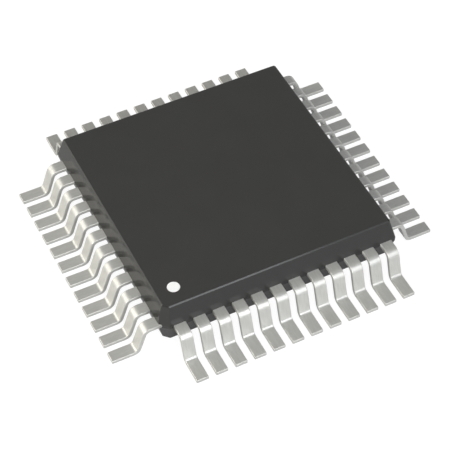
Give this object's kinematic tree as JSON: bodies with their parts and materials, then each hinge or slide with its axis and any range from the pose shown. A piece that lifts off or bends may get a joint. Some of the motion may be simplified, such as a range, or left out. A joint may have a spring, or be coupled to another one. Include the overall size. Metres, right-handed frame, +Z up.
{
  "type": "quad flat package integrated circuit",
  "caption": "Surface-mount chip in a square, dark moulded body with gull-wing leads along every side and a white dot at the first pin; it is soldered flat to a circuit board.",
  "frame": {"origin": "centre of the seating plane, on which the feet of the leads stand", "axes": "+Z up through the top face; the row of pin 1 is on -Y, and pin 1 lies beside the marked corner at -X, -Y; pins count anticlockwise seen from above"},
  "size_m": [0.014, 0.014, 0.0021],
  "materials": {
    "mould_compound": "matte dark grey epoxy mould compound with a fine spark-eroded grain",
    "plated_lead": "tin-plated copper alloy, satin, with fine grain along the strip",
    "lead_frame": "bare copper alloy strip",
    "die_adhesive": "cured silver-filled adhesive",
    "silicon": "polished opaque silicon",
    "gold_wire": "bright drawn gold wire",
    "white_ink": "flat white ink"
  },
  "bodies": {
    "root": {"body": "mould_compound", "lead_01": "plated_lead", "lead_02": "plated_lead", "lead_03": "plated_lead", "lead_04": "plated_lead", "lead_05": "plated_lead", "lead_06": "plated_lead", "lead_07": "plated_lead", "lead_08": "plated_lead", "lead_09": "plated_lead", "lead_10": "plated_lead", "lead_11": "plated_lead", "lead_12": "plated_lead", "lead_13": "plated_lead", "lead_14": "plated_lead", "lead_15": "plated_lead", "lead_16": "plated_lead", "lead_17": "plated_lead", "lead_18": "plated_lead", "lead_19": "plated_lead", "lead_20": "plated_lead", "lead_21": "plated_lead", "lead_22": "plated_lead", "lead_23": "plated_lead", "lead_24": "plated_lead", "lead_25": "plated_lead", "lead_26": "plated_lead", "lead_27": "plated_lead", "lead_28": "plated_lead", "lead_29": "plated_lead", "lead_30": "plated_lead", "lead_31": "plated_lead", "lead_32": "plated_lead", "lead_33": "plated_lead", "lead_34": "plated_lead", "lead_35": "plated_lead", "lead_36": "plated_lead", "lead_37": "plated_lead", "lead_38": "plated_lead", "lead_39": "plated_lead", "lead_40": "plated_lead", "lead_41": "plated_lead", "lead_42": "plated_lead", "lead_43": "plated_lead", "lead_44": "plated_lead", "lead_45": "plated_lead", "lead_46": "plated_lead", "lead_47": "plated_lead", "lead_48": "plated_lead", "die_pad": "lead_frame", "die_attach": "die_adhesive", "die": "silicon", "bond_wires": "gold_wire", "pin1_mark": "white_ink"}
  },
  "joints": []
}
